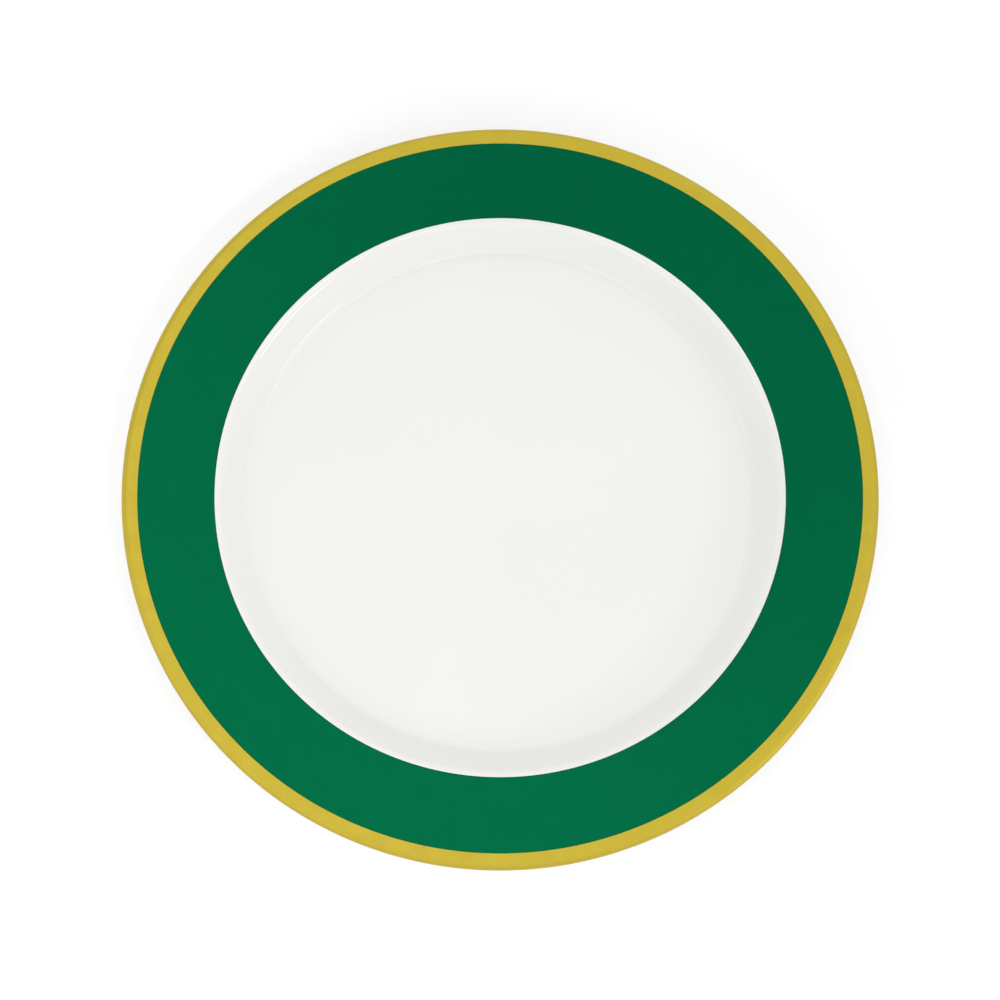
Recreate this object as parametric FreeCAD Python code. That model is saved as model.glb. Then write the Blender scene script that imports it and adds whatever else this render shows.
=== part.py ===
"""China dinner plate: one fired porcelain body, the glaze on it, and its two fired-on bands.

Every piece is a solid of revolution, drawn as a half-section in the XZ plane and turned about Z.
Millimetres. The plate stands on its foot ring at z = 0, with the origin on its axis.
"""

import FreeCAD, Part
import math
import os

# Overall
PLATE_RADIUS = 130.0
WELL_THICKNESS = 4.2
WALL_THICKNESS = 4.2

# Face of the plate
WELL_FLOOR_RADIUS = 86.9
WELL_FILLET = 3.8
WALL_ANGLE = math.radians(48.1)
SHOULDER_FILLET = 4.6
RIM_ANGLE = math.radians(11.5)

# Lip at the outer edge
LIP_HEIGHT = 4.2
LIP_TOP_FILLET = 1.9
LIP_BOTTOM_FILLET = 1.5

# Back of the plate
UNDER_RIM_ANGLE = math.radians(10.6)
UNDER_SHOULDER_FILLET = 7.0
UNDER_WALL_FILLET = 3.0
UNDER_WELL_Z = 3.2

# Foot ring
FOOT_OUTER_RADIUS = 84.0
FOOT_WIDTH = 3.6
FOOT_DRAFT = 0.6
FOOT_ROOT_FILLET = 1.2
TREAD_FILLET = 0.5
RECESS_Z = 2.8
RECESS_FILLET = 1.6

# Coats
GLAZE = 0.4
GLAZE_LINE_Z = 1.1
BAND_SINK = 0.24
BAND_PROUD = 0.06
GREEN_INNER_RADIUS = 98.6
GREEN_GOLD_RADIUS = 124.5
GOLD_END_BELOW_LIP = 2.9

# No arc of the outline turns further than this, so that long roundings stay smooth everywhere
ARC_STEP = math.radians(30.0)

AXIS = FreeCAD.Vector(0, 0, 1)
ORIGIN = FreeCAD.Vector(0, 0, 0)
OUT_FOLDER = "parts"


def at(r, z):
    """A point of the half-section."""
    return FreeCAD.Vector(r, 0, z)


def direction(a, b):
    return (b - a).normalize()


def turn(a, b, c):
    """Positive where the outline a, b, c turns towards the material, as at a convex corner."""
    first = direction(a, b)
    second = direction(b, c)
    return first.z * second.x - first.x * second.z


def meet(p, along_p, q, along_q):
    """Where the line through p meets the line through q."""
    cross = along_p.x * along_q.z - along_p.z * along_q.x
    gap = q - p
    step = (gap.x * along_q.z - gap.z * along_q.x) / cross
    return p + along_p * step


def heading(angle):
    """Unit direction that rises outwards at an angle to the horizontal."""
    return at(math.cos(angle), math.sin(angle))


def finished_outline():
    """Corners and corner radii of the glazed plate, from the axis over the lip to the axis again."""
    level = heading(0.0)
    floor_z = RECESS_Z + WELL_THICKNESS
    wall_foot = at(WELL_FLOOR_RADIUS + WELL_FILLET * math.tan(WALL_ANGLE / 2), floor_z)
    rounding = SHOULDER_FILLET * math.tan((WALL_ANGLE - RIM_ANGLE) / 2)
    shoulder_radius = GREEN_INNER_RADIUS - rounding * math.cos(RIM_ANGLE)
    shoulder = meet(wall_foot, heading(WALL_ANGLE), at(shoulder_radius, 0), at(0, 1))
    lip_top = meet(shoulder, heading(RIM_ANGLE), at(PLATE_RADIUS, 0), at(0, 1))
    lip_bottom = at(PLATE_RADIUS, lip_top.z - LIP_HEIGHT)
    wall_back = wall_foot + at(math.sin(WALL_ANGLE), -math.cos(WALL_ANGLE)) * WALL_THICKNESS
    under_shoulder = meet(lip_bottom, heading(UNDER_RIM_ANGLE), wall_back, heading(WALL_ANGLE))
    under_wall = meet(at(0, UNDER_WELL_Z), level, wall_back, heading(WALL_ANGLE))
    inner_radius = FOOT_OUTER_RADIUS - FOOT_WIDTH
    return [
        (at(0, floor_z), 0),
        (wall_foot, WELL_FILLET),
        (shoulder, SHOULDER_FILLET),
        (lip_top, LIP_TOP_FILLET),
        (lip_bottom, LIP_BOTTOM_FILLET),
        (under_shoulder, UNDER_SHOULDER_FILLET),
        (under_wall, UNDER_WALL_FILLET),
        (at(FOOT_OUTER_RADIUS + FOOT_DRAFT, UNDER_WELL_Z), FOOT_ROOT_FILLET),
        (at(FOOT_OUTER_RADIUS, 0), TREAD_FILLET),
        (at(inner_radius, 0), TREAD_FILLET),
        (at(inner_radius - FOOT_DRAFT, RECESS_Z), RECESS_FILLET),
        (at(0, RECESS_Z), 0),
    ]


TREAD = 8  # the outline's side from corner 8 to corner 9 is the bare tread of the foot ring


def grown(outline, depth):
    """The outline moved outwards by depth, or inwards if it is negative. The tread stays where it is."""
    sides = []
    for n in range(len(outline) - 1):
        start, end = outline[n][0], outline[n + 1][0]
        along = direction(start, end)
        move = 0.0 if n == TREAD else depth
        sides.append((start + at(-along.z, along.x) * move, along))
    up = at(0, 1)
    moved = [(meet(ORIGIN, up, *sides[0]), 0)]
    for n in range(1, len(outline) - 1):
        corner, radius = outline[n]
        convex = turn(outline[n - 1][0], corner, outline[n + 1][0]) > 0
        beside_tread = n in (TREAD, TREAD + 1)
        change = 0.0 if beside_tread else (depth if convex else -depth)
        moved.append((meet(*sides[n - 1], *sides[n]), radius + change))
    moved.append((meet(ORIGIN, up, *sides[-1]), 0))
    return moved


def arcs(start, end, centre):
    """The shorter way round centre from start to end, as equal arcs of at most ARC_STEP."""
    first, last = start - centre, end - centre
    angle = first.getAngle(last)

    def on_arc(share):
        spoke = first * math.sin((1 - share) * angle) + last * math.sin(share * angle)
        return centre + spoke / math.sin(angle)

    count = math.ceil(angle / ARC_STEP)
    edges = []
    for n in range(count):
        points = [on_arc((n + part) / count) for part in (0, 0.5, 1)]
        edges.append(Part.Arc(*points).toShape())
    return edges


def rounded(corners):
    """Straight edges joined by tangent roundings through a list of (corner, radius)."""
    edges = []
    here = corners[0][0]
    for n in range(1, len(corners) - 1):
        before, (corner, radius), after = corners[n - 1][0], corners[n], corners[n + 1][0]
        towards, away = direction(corner, before), direction(corner, after)
        half = towards.getAngle(away) / 2
        reach = radius / math.tan(half)
        centre = corner + (towards + away).normalize() * (radius / math.sin(half))
        start, end = corner + towards * reach, corner + away * reach
        edges.append(Part.LineSegment(here, start).toShape())
        edges += arcs(start, end, centre)
        here = end
    edges.append(Part.LineSegment(here, corners[-1][0]).toShape())
    return edges


def on_side(outline, n, z):
    """The point at height z on the outline's side that leaves corner n."""
    start, end = outline[n][0], outline[n + 1][0]
    return meet(start, direction(start, end), at(0, z), at(1, 0))


def section_between(outer, inner):
    """The face between two open chains of corners whose ends are joined by straight lines."""
    edges = rounded(outer) + rounded(inner)
    for end in (0, -1):
        if (outer[end][0] - inner[end][0]).Length > 0:
            edges.append(Part.LineSegment(outer[end][0], inner[end][0]).toShape())
    return Part.Face(Part.Wire(Part.__sortEdges__(edges)))


def body_section(bare):
    """The fired clay: everything inside the glaze, down to the bare tread."""
    edges = rounded(bare)
    edges.append(Part.LineSegment(bare[-1][0], bare[0][0]).toShape())
    return Part.Face(Part.Wire(edges))


def glaze_section(glazed, bare):
    """The glaze from the middle of the well, over the lip, to its line on the foot ring's outside."""
    foot_side = TREAD - 1
    outer = glazed[:TREAD] + [(on_side(glazed, foot_side, GLAZE_LINE_Z), 0)]
    inner = bare[:TREAD] + [(on_side(bare, foot_side, GLAZE_LINE_Z), 0)]
    return section_between(outer, inner)


def recess_glaze_section(glazed, bare):
    """The glaze inside the foot ring, which the bare tread parts from the rest."""
    foot_side = TREAD + 1
    outer = [(on_side(glazed, foot_side, GLAZE_LINE_Z), 0)] + glazed[TREAD + 2:]
    inner = [(on_side(bare, foot_side, GLAZE_LINE_Z), 0)] + bare[TREAD + 2:]
    return section_between(outer, inner)


def decoration_section(glazed):
    """Both bands as one strip along the rim and over the lip, sunk a little into the glaze."""
    shoulder, lip = 2, 3

    def strip(depth):
        surface = grown(glazed, depth)
        rim_start, lip_top = surface[shoulder][0], surface[lip][0]
        rim = direction(rim_start, lip_top)
        start = meet(rim_start, rim, at(GREEN_INNER_RADIUS, 0), at(0, 1))
        end = at(lip_top.x, glazed[lip][0].z - GOLD_END_BELOW_LIP)
        return [(start, 0), surface[lip], (end, 0)]

    return section_between(strip(BAND_PROUD), strip(-BAND_SINK))


def inside_radius(radius):
    """A face that holds every point of the half-section nearer the axis than radius."""
    top = PLATE_RADIUS
    corners = [at(0, 0), at(radius, 0), at(radius, top), at(0, top), at(0, 0)]
    return Part.Face(Part.makePolygon(corners))


def turned(section):
    """The solid that the half-section makes when it is turned about Z, in two half turns."""
    near = section.revolve(ORIGIN, AXIS, 180)
    far = near.copy()
    far.rotate(ORIGIN, AXIS, 180)
    return near.fuse(far).Solids[0]


def pieces():
    """Every node's name and solid."""
    glazed = finished_outline()
    bare = grown(glazed, -GLAZE)
    decoration = decoration_section(glazed)
    green_side = inside_radius(GREEN_GOLD_RADIUS)
    return {
        "porcelain_body": turned(body_section(bare)),
        "glaze_coat": turned(glaze_section(glazed, bare).cut(decoration).Faces[0]),
        "foot_recess_glaze": turned(recess_glaze_section(glazed, bare)),
        "green_enamel_band": turned(decoration.common(green_side).Faces[0]),
        "gold_lip_band": turned(decoration.cut(green_side).Faces[0]),
    }


def main():
    os.makedirs(OUT_FOLDER, exist_ok=True)
    for name, solid in pieces().items():
        solid.exportStep(f"{OUT_FOLDER}/{name}.step")
        print(f"{name}: {solid.Volume:.0f} mm3, {len(solid.Faces)} faces")


main()
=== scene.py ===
"""A china dinner plate, looked down on from the front, on a plain pale floor in soft studio light.

Every piece is turned about Z from a half-section in millimetres, and is stored in metres. It stands
for the CAD node of the same layer, has the same shape, and adds what a fired plate shows: a slightly
uneven surface, rounded enamel edges, and coats that differ in gloss, tone and grain.
"""

import math

import bpy
import numpy as np
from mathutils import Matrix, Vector


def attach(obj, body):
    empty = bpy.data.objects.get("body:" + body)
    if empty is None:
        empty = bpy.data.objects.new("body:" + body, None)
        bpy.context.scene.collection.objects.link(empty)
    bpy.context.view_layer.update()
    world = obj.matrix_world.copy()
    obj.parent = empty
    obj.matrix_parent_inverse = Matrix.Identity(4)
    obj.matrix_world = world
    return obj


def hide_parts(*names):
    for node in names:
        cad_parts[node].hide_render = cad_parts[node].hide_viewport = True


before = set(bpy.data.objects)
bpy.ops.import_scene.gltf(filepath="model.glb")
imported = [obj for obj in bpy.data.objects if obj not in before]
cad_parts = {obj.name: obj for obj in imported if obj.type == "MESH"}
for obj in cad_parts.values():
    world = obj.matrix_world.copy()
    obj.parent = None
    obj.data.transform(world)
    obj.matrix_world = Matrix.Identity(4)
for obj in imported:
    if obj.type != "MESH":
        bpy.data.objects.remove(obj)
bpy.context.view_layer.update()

MM = 0.001

# ---------------------------------------------------------------- the plate's driving sizes, in mm
PLATE_RADIUS = 130.0
WELL_THICKNESS = 4.2
WALL_THICKNESS = 4.2
WELL_FLOOR_RADIUS = 86.9
WELL_FILLET = 3.8
WALL_ANGLE = math.radians(48.1)
SHOULDER_FILLET = 4.6
RIM_ANGLE = math.radians(11.5)
LIP_HEIGHT = 4.2
LIP_TOP_FILLET = 1.9
LIP_BOTTOM_FILLET = 1.5
UNDER_RIM_ANGLE = math.radians(10.6)
UNDER_SHOULDER_FILLET = 7.0
UNDER_WALL_FILLET = 3.0
UNDER_WELL_Z = 3.2
FOOT_OUTER_RADIUS = 84.0
FOOT_WIDTH = 3.6
FOOT_DRAFT = 0.6
FOOT_ROOT_FILLET = 1.2
TREAD_FILLET = 0.5
RECESS_Z = 2.8
RECESS_FILLET = 1.6
GLAZE = 0.4
GLAZE_LINE_Z = 1.1
BAND_SINK = 0.24
BAND_PROUD = 0.06
GREEN_INNER_RADIUS = 98.6
GREEN_GOLD_RADIUS = 124.5
GOLD_END_BELOW_LIP = 2.9

# The outline's corners and sides by number, as finished_outline() lists them
SHOULDER = 2
LIP = 3
TREAD = 8

# ---------------------------------------------------------------- how finely a section is divided
AROUND = 720         # sides of a ring that is seen close up
AROUND_HIDDEN = 360  # sides of a ring that mostly hides under the glaze or the foot
ARC_STEP = math.radians(5.0)
LINE_STEP = 2.5      # mm
SHARP_FROM = math.radians(40)  # edges that turn further than this stay sharp
ON_AXIS = 1e-6       # mm, a point nearer the axis than this is on it

# ---------------------------------------------------------------- half-section geometry


def at(r, z):
    return Vector((r, z))


def heading(angle):
    return at(math.cos(angle), math.sin(angle))


def direction(a, b):
    return (b - a).normalized()


def meet(p, along_p, q, along_q):
    """Where the line through p meets the line through q."""
    cross = along_p.x * along_q.y - along_p.y * along_q.x
    gap = q - p
    return p + along_p * ((gap.x * along_q.y - gap.y * along_q.x) / cross)


def finished_outline():
    """Corners and corner radii of the glazed plate, from the axis over the lip to the axis again."""
    floor_z = RECESS_Z + WELL_THICKNESS
    wall_foot = at(WELL_FLOOR_RADIUS + WELL_FILLET * math.tan(WALL_ANGLE / 2), floor_z)
    rounding = SHOULDER_FILLET * math.tan((WALL_ANGLE - RIM_ANGLE) / 2)
    shoulder_radius = GREEN_INNER_RADIUS - rounding * math.cos(RIM_ANGLE)
    upright = at(0, 1)
    shoulder = meet(wall_foot, heading(WALL_ANGLE), at(shoulder_radius, 0), upright)
    lip_top = meet(shoulder, heading(RIM_ANGLE), at(PLATE_RADIUS, 0), upright)
    lip_bottom = lip_top - at(0, LIP_HEIGHT)
    wall_back = wall_foot + at(math.sin(WALL_ANGLE), -math.cos(WALL_ANGLE)) * WALL_THICKNESS
    under_shoulder = meet(lip_bottom, heading(UNDER_RIM_ANGLE), wall_back, heading(WALL_ANGLE))
    under_wall = meet(at(0, UNDER_WELL_Z), at(1, 0), wall_back, heading(WALL_ANGLE))
    inner_radius = FOOT_OUTER_RADIUS - FOOT_WIDTH
    return [
        (at(0, floor_z), 0),
        (wall_foot, WELL_FILLET),
        (shoulder, SHOULDER_FILLET),
        (lip_top, LIP_TOP_FILLET),
        (lip_bottom, LIP_BOTTOM_FILLET),
        (under_shoulder, UNDER_SHOULDER_FILLET),
        (under_wall, UNDER_WALL_FILLET),
        (at(FOOT_OUTER_RADIUS + FOOT_DRAFT, UNDER_WELL_Z), FOOT_ROOT_FILLET),
        (at(FOOT_OUTER_RADIUS, 0), TREAD_FILLET),
        (at(inner_radius, 0), TREAD_FILLET),
        (at(inner_radius - FOOT_DRAFT, RECESS_Z), RECESS_FILLET),
        (at(0, RECESS_Z), 0),
    ]


def convex(before, corner, after):
    a, b = corner - before, after - corner
    return a.y * b.x - a.x * b.y > 0


def grown(outline, depth):
    """The outline moved outwards by depth, or inwards if it is negative. The tread stays where it is."""
    sides = []
    for n in range(len(outline) - 1):
        start, end = outline[n][0], outline[n + 1][0]
        along = direction(start, end)
        move = 0.0 if n == TREAD else depth
        sides.append((start + at(-along.y, along.x) * move, along))
    axis = (at(0, 0), at(0, 1))
    moved = [(meet(*axis, *sides[0]), 0)]
    for n in range(1, len(outline) - 1):
        corner, radius = outline[n]
        outwards = convex(outline[n - 1][0], corner, outline[n + 1][0])
        beside_tread = n in (TREAD, TREAD + 1)
        change = 0.0 if beside_tread else (depth if outwards else -depth)
        moved.append((meet(*sides[n - 1], *sides[n]), radius + change))
    moved.append((meet(*axis, *sides[-1]), 0))
    return moved


def line_points(start, end):
    """Points from start up to but not including end, no further apart than LINE_STEP."""
    count = max(1, math.ceil((end - start).length / LINE_STEP))
    return [start.lerp(end, n / count) for n in range(count)]


def arc_points(start, end, centre):
    """Points from start up to but not including end, the shorter way round centre."""
    first, last = start - centre, end - centre
    angle = first.angle(last)
    count = max(2, math.ceil(angle / ARC_STEP))
    points = []
    for n in range(count):
        share = n / count
        spoke = first * math.sin((1 - share) * angle) + last * math.sin(share * angle)
        points.append(centre + spoke / math.sin(angle))
    return points


def rounded(corners):
    """Points along straight runs joined by tangent roundings through a list of (corner, radius)."""
    points = []
    here = corners[0][0]
    for n in range(1, len(corners) - 1):
        before, (corner, radius), after = corners[n - 1][0], corners[n], corners[n + 1][0]
        if radius == 0:
            points += line_points(here, corner)
            here = corner
            continue
        towards, away = direction(corner, before), direction(corner, after)
        half = towards.angle(away) / 2
        reach = radius / math.tan(half)
        centre = corner + (towards + away).normalized() * (radius / math.sin(half))
        start, end = corner + towards * reach, corner + away * reach
        points += line_points(here, start)
        points += arc_points(start, end, centre)
        here = end
    points += line_points(here, corners[-1][0])
    points.append(corners[-1][0])
    return points


def on_side(outline, n, z):
    """The point at height z on the outline's side that leaves corner n."""
    start, end = outline[n][0], outline[n + 1][0]
    return meet(start, direction(start, end), at(0, z), at(1, 0))


# ---------------------------------------------------------------- the five half-sections

GLAZE_ROLL = 0.3      # mm, the rounding that surface tension gives the glaze where it ends on the foot
EDGE_ROUNDING = 0.05  # mm, of a band's free edge
LAP = 1e-4            # mm, by which the glaze's face runs on past the green band's edge


def body_section(bare):
    return rounded(bare)


def band_line(glazed, depth, inner_radius):
    """(start, lip corner, end) of the line at a depth below the finished face that a band follows."""
    surface = grown(glazed, depth)
    rim_start, (lip, radius) = surface[SHOULDER][0], surface[LIP]
    start = meet(rim_start, direction(rim_start, lip), at(inner_radius, 0), at(0, 1))
    end = at(lip.x, glazed[LIP][0].y - GOLD_END_BELOW_LIP)
    return start, (lip, radius), end


def glaze_section(glazed, bare):
    """From the middle of the well over the lip to the glaze line, and back along the clay."""
    foot_side = TREAD - 1
    rim_mark, _, _ = band_line(glazed, 0, GREEN_INNER_RADIUS)
    sunk_start, sunk_lip, sunk_end = band_line(glazed, -BAND_SINK, GREEN_INNER_RADIUS)
    face = glazed[:LIP] + [(rim_mark + heading(RIM_ANGLE) * LAP, 0)]
    channel = [(sunk_start, 0), sunk_lip, (sunk_end, 0)]
    outside = [(at(PLATE_RADIUS, sunk_end.y), 0)] + glazed[LIP + 1:TREAD]
    outside.append((on_side(glazed, foot_side, GLAZE_LINE_Z), GLAZE_ROLL))
    outside.append((on_side(bare, foot_side, GLAZE_LINE_Z), 0))
    inside = bare[:TREAD] + [(on_side(bare, foot_side, GLAZE_LINE_Z), 0)]
    return rounded(face) + rounded(channel) + rounded(outside) + rounded(inside)[-2::-1]


def recess_glaze_section(glazed, bare):
    foot_side = TREAD + 1
    outer = [(on_side(bare, foot_side, GLAZE_LINE_Z), 0)]
    outer.append((on_side(glazed, foot_side, GLAZE_LINE_Z), GLAZE_ROLL))
    outer += glazed[TREAD + 2:]
    inner = [(on_side(bare, foot_side, GLAZE_LINE_Z), 0)] + bare[TREAD + 2:]
    return rounded(outer)[:0:-1] + rounded(inner)


def green_section(glazed):
    top_in, _, _ = band_line(glazed, BAND_PROUD, GREEN_INNER_RADIUS)
    top_out, _, _ = band_line(glazed, BAND_PROUD, GREEN_GOLD_RADIUS)
    low_in, _, _ = band_line(glazed, -BAND_SINK, GREEN_INNER_RADIUS)
    low_out, _, _ = band_line(glazed, -BAND_SINK, GREEN_GOLD_RADIUS)
    over = rounded([(low_in, 0), (top_in, EDGE_ROUNDING), (top_out, 0), (low_out, 0)])
    return over + line_points(low_out, low_in)[1:]


def gold_section(glazed):
    top_in, lip, top_end = band_line(glazed, BAND_PROUD, GREEN_GOLD_RADIUS)
    low_in, low_lip, low_end = band_line(glazed, -BAND_SINK, GREEN_GOLD_RADIUS)
    over = rounded([(low_in, 0), (top_in, EDGE_ROUNDING), lip, (top_end, 0)])
    return over + rounded([(low_end, 0), low_lip, (low_in, 0)])[:-1]


# ---------------------------------------------------------------- from sections to meshes

UNEVENNESS = 0.03            # mm, height of the slow waves that firing leaves in the surface
WAVE_LENGTHS = (26.0, 70.0)  # mm
WAVES = 14
RIM_WARP = 0.12              # mm, by which the rim dips on two opposite sides
WARP_FROM = 88.0             # mm, the radius where the dip begins
WARP_TURN = 0.7              # radians, sets where round the plate the dips are
SHRUNK = 0.01                # mm, by which the whole edge is drawn in
OUT_OF_ROUND = 0.05          # mm, by which two opposite sides of the edge are drawn in further
OVAL_TURN = 2.0              # radians, sets where round the plate those sides are
SEED = 7

random = np.random.default_rng(SEED)
wave_angles = random.uniform(0, 2 * math.pi, WAVES)
wave_numbers = 2 * math.pi / random.uniform(*WAVE_LENGTHS, WAVES)
wave_phases = random.uniform(0, 2 * math.pi, WAVES)


def sunk_by_firing(x, y):
    """How far the fired surface lies below the drawn one at each point, in mm."""
    waves = np.zeros_like(x)
    for angle, number, phase in zip(wave_angles, wave_numbers, wave_phases):
        waves += np.cos((x * math.cos(angle) + y * math.sin(angle)) * number + phase)
    waves = UNEVENNESS * (0.5 + 0.25 * waves / math.sqrt(WAVES))
    r, angle = np.hypot(x, y), np.arctan2(y, x)
    reach = np.clip((r - WARP_FROM) / (PLATE_RADIUS - WARP_FROM), 0, 1) ** 2
    return np.maximum(waves, 0) + RIM_WARP * reach * (0.5 - 0.5 * np.cos(2 * angle + WARP_TURN))


def drawn_in_by_firing(r, turn):
    """How far each point moves towards the axis, in mm: an edge that isn't quite round."""
    edge = SHRUNK + OUT_OF_ROUND * (0.5 + 0.5 * np.cos(2 * turn + OVAL_TURN))
    return edge * (r / PLATE_RADIUS) ** 2


def anticlockwise(points):
    """The points of a section in the order that makes the turned faces look out of the solid."""
    r, z = points[:, 0], points[:, 1]
    doubled_area = np.sum(r * np.roll(z, -1) - np.roll(r, -1) * z)
    return points if doubled_area > 0 else points[::-1]


def turned(name, section, around):
    """The mesh of a half-section turned about Z: closed where it leaves the axis, or a closed ring."""
    points = anticlockwise(np.array([[p.x, p.y] for p in section]))
    poles = [n for n in (0, len(points) - 1) if points[n, 0] < ON_AXIS]
    rings = points[[n for n in range(len(points)) if n not in poles]]
    turn = np.arange(around) * (2 * math.pi / around)
    r = rings[:, :1] - drawn_in_by_firing(rings[:, :1], turn)
    x = r * np.cos(turn)
    y = r * np.sin(turn)
    z = np.repeat(rings[:, 1:], around, axis=1)
    lift = np.clip((z - GLAZE_LINE_Z) / (RECESS_Z - GLAZE_LINE_Z), 0, 1)
    z = z - sunk_by_firing(x, y) * lift
    verts = np.stack([x, y, z], axis=-1).reshape(-1, 3)
    count = len(rings)
    first = np.arange(around)
    after = np.roll(first, -1)
    faces = []
    for n in range(count - 1 if poles else count):
        low, high = n * around, ((n + 1) % count) * around
        faces += np.stack([low + first, low + after, high + after, high + first], axis=-1).tolist()
    if poles:
        tip, tail = len(verts), len(verts) + 1
        sunk = sunk_by_firing(np.zeros(1), np.zeros(1))[0]
        for n in (0, -1):
            verts = np.vstack([verts, [0, 0, points[n, 1] - sunk]])
        last = (count - 1) * around
        faces += [[tip, b, a] for a, b in zip(first, after)]
        faces += [[tail, last + a, last + b] for a, b in zip(first, after)]
    mesh = bpy.data.meshes.new(name)
    mesh.from_pydata((verts * MM).tolist(), [], faces)
    mesh.validate()
    mesh.shade_smooth()
    mesh.set_sharp_from_angle(angle=SHARP_FROM)
    piece = bpy.data.objects.new(name, mesh)
    bpy.context.scene.collection.objects.link(piece)
    return piece


# ---------------------------------------------------------------- materials


class Shader:
    """A node material with short calls for what the plate's coats need."""

    def __init__(self, name):
        self.material = bpy.data.materials.new(name)
        self.material.use_nodes = True
        self.nodes = self.material.node_tree.nodes
        self.links = self.material.node_tree.links
        self.surface = self.nodes["Principled BSDF"]
        self.place = self.nodes.new("ShaderNodeTexCoord").outputs["Object"]

    def node(self, kind, inputs, **settings):
        made = self.nodes.new(kind)
        for key, value in settings.items():
            setattr(made, key, value)
        for key, value in inputs.items():
            self.put(made.inputs[key], value)
        return made

    def put(self, socket, value):
        if isinstance(value, bpy.types.NodeSocket):
            self.links.new(value, socket)
        else:
            socket.default_value = value

    def set(self, **values):
        """Fills the surface's sockets. Their names are written with _ for a space."""
        for key, value in values.items():
            self.put(self.surface.inputs[key.replace("_", " ")], value)

    def radius(self):
        """The distance from the plate's axis, in metres."""
        across = self.node("ShaderNodeVectorMath", {0: self.place, 1: (1, 1, 0)}, operation="MULTIPLY")
        length = self.node("ShaderNodeVectorMath", {0: across.outputs["Vector"]}, operation="LENGTH")
        return length.outputs["Value"]

    def upward(self):
        """1 where the surface faces straight up, -1 where it faces straight down."""
        facing = self.nodes.new("ShaderNodeNewGeometry").outputs["Normal"]
        return self.node("ShaderNodeSeparateXYZ", {0: facing}).outputs["Z"]

    def noise(self, size_mm, detail=2.0, rough=0.5):
        """Soft noise from 0 to 1 whose blobs are about size_mm across."""
        inputs = {"Vector": self.place, "Scale": 1 / (size_mm * MM), "Detail": detail}
        return self.node("ShaderNodeTexNoise", {**inputs, "Roughness": rough}).outputs["Fac"]

    def rings(self, width_mm, detail=2.0):
        """Noise from 0 to 1 that only changes with the distance from the plate's axis."""
        inputs = {"W": self.radius(), "Scale": 1 / (width_mm * MM), "Detail": detail}
        return self.node("ShaderNodeTexNoise", inputs, noise_dimensions="1D").outputs["Fac"]

    def ranged(self, value, low, high, start=0.3, end=0.7):
        """value from start to end, mapped to low to high."""
        inputs = {"Value": value, "From Min": start, "From Max": end, "To Min": low, "To Max": high}
        return self.node("ShaderNodeMapRange", inputs).outputs["Result"]

    def math(self, operation, a, b):
        return self.node("ShaderNodeMath", {0: a, 1: b}, operation=operation).outputs["Value"]

    def mixed(self, share, first, second):
        """The colour that goes from first to second as share goes from 0 to 1."""
        first, second = [(*c, 1) if isinstance(c, tuple) else c for c in (first, second)]
        blend = self.node("ShaderNodeMix", {0: share, 6: first, 7: second}, data_type="RGBA")
        return blend.outputs[2]

    def bump(self, height, depth_mm, over=None):
        """A normal bent by height times depth_mm, on top of the normal over."""
        inputs = {"Height": height, "Distance": depth_mm * MM}
        if over is not None:
            inputs["Normal"] = over
        return self.node("ShaderNodeBump", inputs).outputs["Normal"]


WHITE = (0.86, 0.855, 0.84)
WHITE_POOLED = (0.845, 0.84, 0.82)
GREEN = (0.0011, 0.122, 0.0475)
GREEN_THIN = (0.0013, 0.13, 0.0515)
GREEN_POOLED = (0.0005, 0.080, 0.031)
GREEN_SHEEN = (0.0, 0.9, 0.35, 1)
GOLD = (0.625, 0.49, 0.049)
GOLD_WORN = (0.595, 0.463, 0.05)
GOLD_OVER_ROLL = (0.53, 0.405, 0.048)
BISQUE = (0.72, 0.69, 0.63)
BISQUE_SCUFFED = (0.50, 0.48, 0.44)
FLOOR_PAINT = (0.93, 0.93, 0.93)
FLOOR_PAINT_FRESH = (0.945, 0.945, 0.945)
FLOOR_GLOW = 0.12  # of its own light, which keeps the floor near white under the plate too

POOLING = 0.4 * MM  # how far the thicker, darker enamel reaches in from the band's edges
DARKER_FROM = 127.6 * MM  # the radius where the lip rolls over, from which the gold is darker out to its edge


def white_glaze(name):
    """Glossy, slightly wavy, warmer where it is thick, with faint forming rings on the back."""
    s = Shader(name)
    thickness = s.ranged(s.noise(size_mm=60, detail=3), low=0, high=1)
    s.set(Base_Color=s.mixed(thickness, WHITE, WHITE_POOLED), IOR=1.5)
    s.set(Roughness=s.ranged(s.noise(size_mm=14, detail=3), low=0.07, high=0.11))
    waves = s.bump(s.noise(size_mm=22, detail=1), depth_mm=0.012)
    on_back = s.ranged(s.upward(), low=1, high=0, start=-0.6, end=-0.2)
    forming = s.bump(s.math("MULTIPLY", s.rings(width_mm=6), on_back), depth_mm=0.03, over=waves)
    s.set(Normal=s.bump(s.noise(size_mm=1.6, detail=1), depth_mm=0.0006, over=forming))
    return s.material


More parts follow.
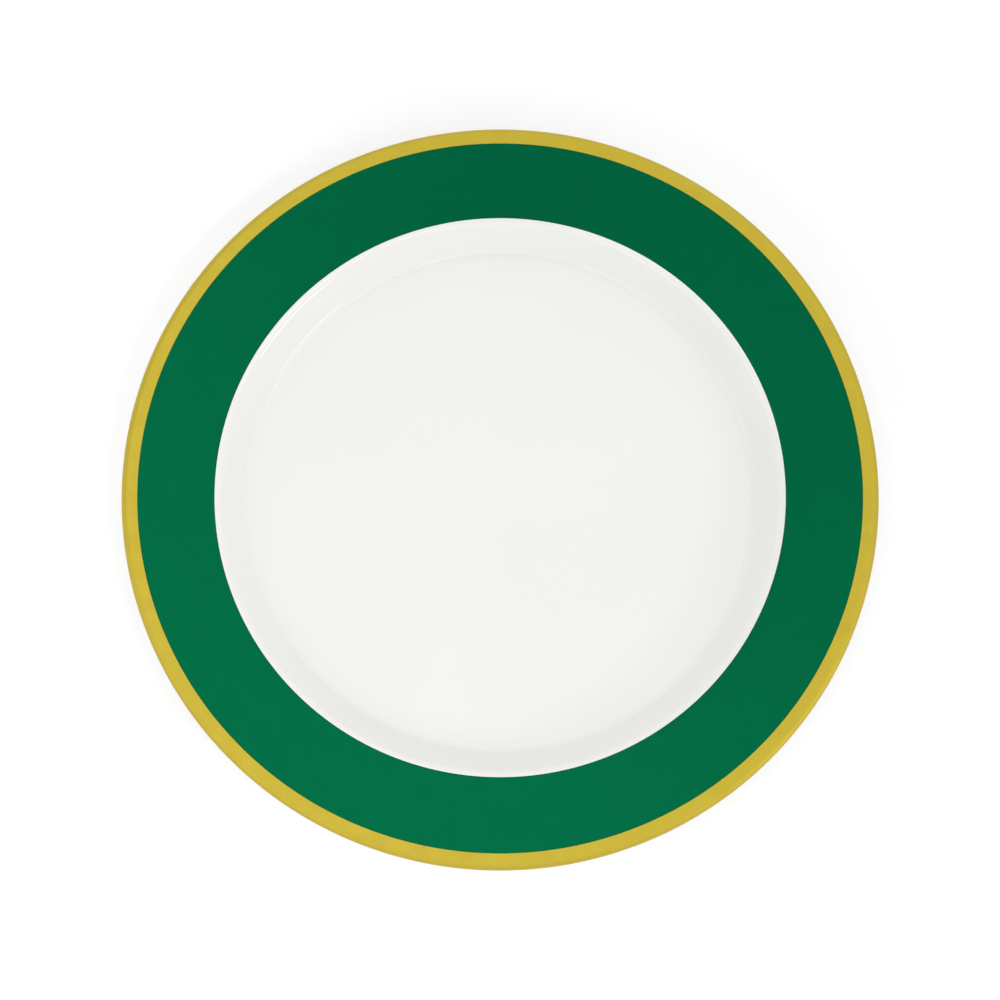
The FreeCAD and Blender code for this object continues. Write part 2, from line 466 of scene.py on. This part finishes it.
def green_enamel(name):
    """Satin, with a fine grain, cloudy by a few percent, and darker where it pools at its edges."""
    s = Shader(name)
    grain = s.noise(size_mm=0.7, detail=3, rough=0.6)
    clouds = s.ranged(s.noise(size_mm=9, detail=4), low=0, high=1, start=0.25, end=0.75)
    inner, outer, radius = GREEN_INNER_RADIUS * MM, GREEN_GOLD_RADIUS * MM, s.radius()
    at_inner = s.ranged(radius, low=1, high=0, start=inner, end=inner + POOLING)
    at_outer = s.ranged(radius, low=0, high=1, start=outer - POOLING, end=outer)
    clouded = s.mixed(clouds, GREEN, GREEN_THIN)
    grained = s.mixed(s.ranged(grain, low=0, high=0.18), clouded, GREEN_POOLED)
    s.set(Base_Color=s.mixed(s.math("ADD", at_inner, at_outer), grained, GREEN_POOLED))
    s.set(Metallic=0.47, IOR=1.45, Specular_Tint=GREEN_SHEEN)
    s.set(Roughness=s.ranged(grain, low=0.24, high=0.32))
    s.set(Normal=s.bump(grain, depth_mm=0.001))
    return s.material


def burnished_gold(name):
    """Soft gold, laid on with a brush as the plate turned, so its fine streaks run around the lip."""
    s = Shader(name)
    broken = s.ranged(s.noise(size_mm=7, detail=3), low=0.5, high=1)
    streaks = s.math("MULTIPLY", s.rings(width_mm=0.3, detail=3), broken)
    clouds = s.ranged(s.noise(size_mm=5, detail=4), low=0, high=1)
    at_lip = s.ranged(s.radius(), low=0, high=1, start=DARKER_FROM, end=PLATE_RADIUS * MM)
    clouded = s.mixed(clouds, GOLD, GOLD_WORN)
    # the gold is darker over the lip's roll and down its outer side
    s.set(Base_Color=s.mixed(at_lip, clouded, GOLD_OVER_ROLL), Metallic=0.9)
    s.set(Roughness=s.ranged(streaks, low=0.45, high=0.6, start=0.2, end=0.6))
    brushed = s.bump(streaks, depth_mm=0.0015)
    s.set(Normal=s.bump(s.noise(size_mm=0.5, detail=2), depth_mm=0.0008, over=brushed))
    return s.material


def bare_porcelain(name):
    """Dry, grainy clay, scuffed grey where it has stood."""
    s = Shader(name)
    scuffs = s.noise(size_mm=3.5, detail=5, rough=0.65)
    scuffed = s.ranged(scuffs, low=0, high=0.6, start=0.5, end=0.72)
    s.set(Base_Color=s.mixed(scuffed, BISQUE, BISQUE_SCUFFED))
    s.set(Roughness=s.ranged(s.noise(size_mm=0.8), low=0.62, high=0.8))
    s.set(Normal=s.bump(s.noise(size_mm=0.35, detail=3), depth_mm=0.02))
    return s.material


def floor_paint(name):
    """Matt, pale and nearly even."""
    s = Shader(name)
    coats = s.ranged(s.noise(size_mm=180, detail=3), low=0, high=1)
    s.set(Base_Color=s.mixed(coats, FLOOR_PAINT, FLOOR_PAINT_FRESH))
    s.set(Roughness=0.9, Specular_IOR_Level=0.0)
    s.set(Emission_Color=(1, 1, 1, 1), Emission_Strength=FLOOR_GLOW)
    return s.material


# ---------------------------------------------------------------- the plate

glazed = finished_outline()
bare = grown(glazed, -GLAZE)
recess_section = recess_glaze_section(glazed, bare)

PIECES = (
    # name, CAD node, slot, half-section, material, sides of a ring
    ("fired_body", "porcelain_body", "fired_clay", body_section(bare), bare_porcelain, AROUND_HIDDEN),
    ("white_glaze", "glaze_coat", "white_glaze", glaze_section(glazed, bare), white_glaze, AROUND),
    ("back_glaze", "foot_recess_glaze", "back_glaze", recess_section, white_glaze, AROUND_HIDDEN),
    ("green_band", "green_enamel_band", "green_enamel", green_section(glazed), green_enamel, AROUND),
    ("gold_band", "gold_lip_band", "burnished_gold", gold_section(glazed), burnished_gold, AROUND),
)

for name, node, slot, section, finish, around in PIECES:
    piece = turned(name, section, around)
    piece.data.materials.append(finish(name))
    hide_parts(node)
    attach(piece, "root")

# ---------------------------------------------------------------- the studio

FLOOR_SIDE = 12.0  # m


def floor():
    half = FLOOR_SIDE / 2
    mesh = bpy.data.meshes.new("floor")
    corners = [(-half, -half, 0), (half, -half, 0), (half, half, 0), (-half, half, 0)]
    mesh.from_pydata(corners, [], [(0, 1, 2, 3)])
    mesh.materials.append(floor_paint("floor"))
    made = bpy.data.objects.new("floor", mesh)
    bpy.context.scene.collection.objects.link(made)


def outwards(azimuth, elevation):
    """Unit vector away from the plate: azimuth 0 is its right, 90 its back, in degrees."""
    a, e = math.radians(azimuth), math.radians(elevation)
    return Vector((math.cos(a) * math.cos(e), math.sin(a) * math.cos(e), math.sin(e)))


def panel(name, azimuth, elevation, distance, wide, tall, radiance):
    """A rectangular light that faces the plate and covers wide by tall degrees of its sky."""
    light = bpy.data.lights.new(name, "AREA")
    light.shape = "RECTANGLE"
    light.size = 2 * distance * math.tan(math.radians(wide / 2))
    light.size_y = 2 * distance * math.tan(math.radians(tall / 2))
    light.energy = radiance * light.size * light.size_y * math.pi
    made = bpy.data.objects.new(name, light)
    away = outwards(azimuth, elevation)
    made.location = away * distance
    made.rotation_mode = "QUATERNION"
    made.rotation_quaternion = away.to_track_quat("Z", "Y")
    made.visible_camera = False
    bpy.context.scene.collection.objects.link(made)


PANELS = (
    # name, azimuth, elevation, distance in m, degrees wide, degrees tall, radiance
    ("key", -31, 20, 2.0, 24, 6, 7.0),
    ("right_box", -40, 57, 2.0, 42, 8, 2.7),
    ("left_box", -155, 71, 2.0, 34, 7, 2.6),
    ("near_front", -100, 42, 0.7, 50, 30, 0.55),
    ("near_left", -150, 42, 0.7, 50, 30, 0.85),
)

# The tent's radiance where nothing brightens it, and an even belt of light low down all round it
TENT = 0.19
BELT = tuple((azimuth, 12, 6, 0.6) for azimuth in range(0, 360, 45))
LOBES = BELT + (
    # azimuth, elevation, sharpness, radiance
    (155, 12, 6, 0.15),
    (60, 42, 6, 0.2),
    (0, 66, 14, 0.65),
    (90, 66, 14, 1.1),
)


def surroundings():
    """A white tent around the plate, as bright as TENT, and brighter around each direction in LOBES."""
    world = bpy.data.worlds.new("studio")
    world.use_nodes = True
    nodes, links = world.node_tree.nodes, world.node_tree.links
    towards = nodes.new("ShaderNodeTexCoord").outputs["Generated"]

    def computed(kind, operation, first, second):
        made = nodes.new(kind)
        made.operation = operation
        links.new(first, made.inputs[0])
        if isinstance(second, bpy.types.NodeSocket):
            links.new(second, made.inputs[1])
        else:
            made.inputs[1].default_value = second
        return made

    start = nodes.new("ShaderNodeMath")  # adds up TENT and 0, so that the lobes have a sum to join
    start.inputs[0].default_value = TENT
    start.inputs[1].default_value = 0.0
    total = start.outputs["Value"]
    for azimuth, elevation, sharpness, radiance in LOBES:
        axis = outwards(azimuth, elevation)
        near = computed("ShaderNodeVectorMath", "DOT_PRODUCT", towards, axis).outputs["Value"]
        ahead = computed("ShaderNodeMath", "MAXIMUM", near, 0.0).outputs["Value"]
        lobe = computed("ShaderNodeMath", "POWER", ahead, sharpness).outputs["Value"]
        lit = computed("ShaderNodeMath", "MULTIPLY", lobe, radiance).outputs["Value"]
        total = computed("ShaderNodeMath", "ADD", lit, total).outputs["Value"]
    background = nodes["Background"]
    background.inputs["Color"].default_value = (1, 1, 1, 1)
    links.new(total, background.inputs["Strength"])
    bpy.context.scene.world = world


def camera():
    elevation, distance, lens = 78.25, 0.87, 90.6
    aim = Vector((-0.00005, -0.00273, 0.015))
    data = bpy.data.cameras.new("camera")
    data.lens = lens
    data.sensor_width = 36
    made = bpy.data.objects.new("camera", data)
    away = outwards(-90, elevation)
    made.location = aim + away * distance
    made.rotation_mode = "QUATERNION"
    made.rotation_quaternion = away.to_track_quat("Z", "Y")
    bpy.context.scene.collection.objects.link(made)
    bpy.context.scene.camera = made


floor()
surroundings()
for row in PANELS:
    panel(*row)
camera()
bpy.context.scene.view_settings.view_transform = "Standard"
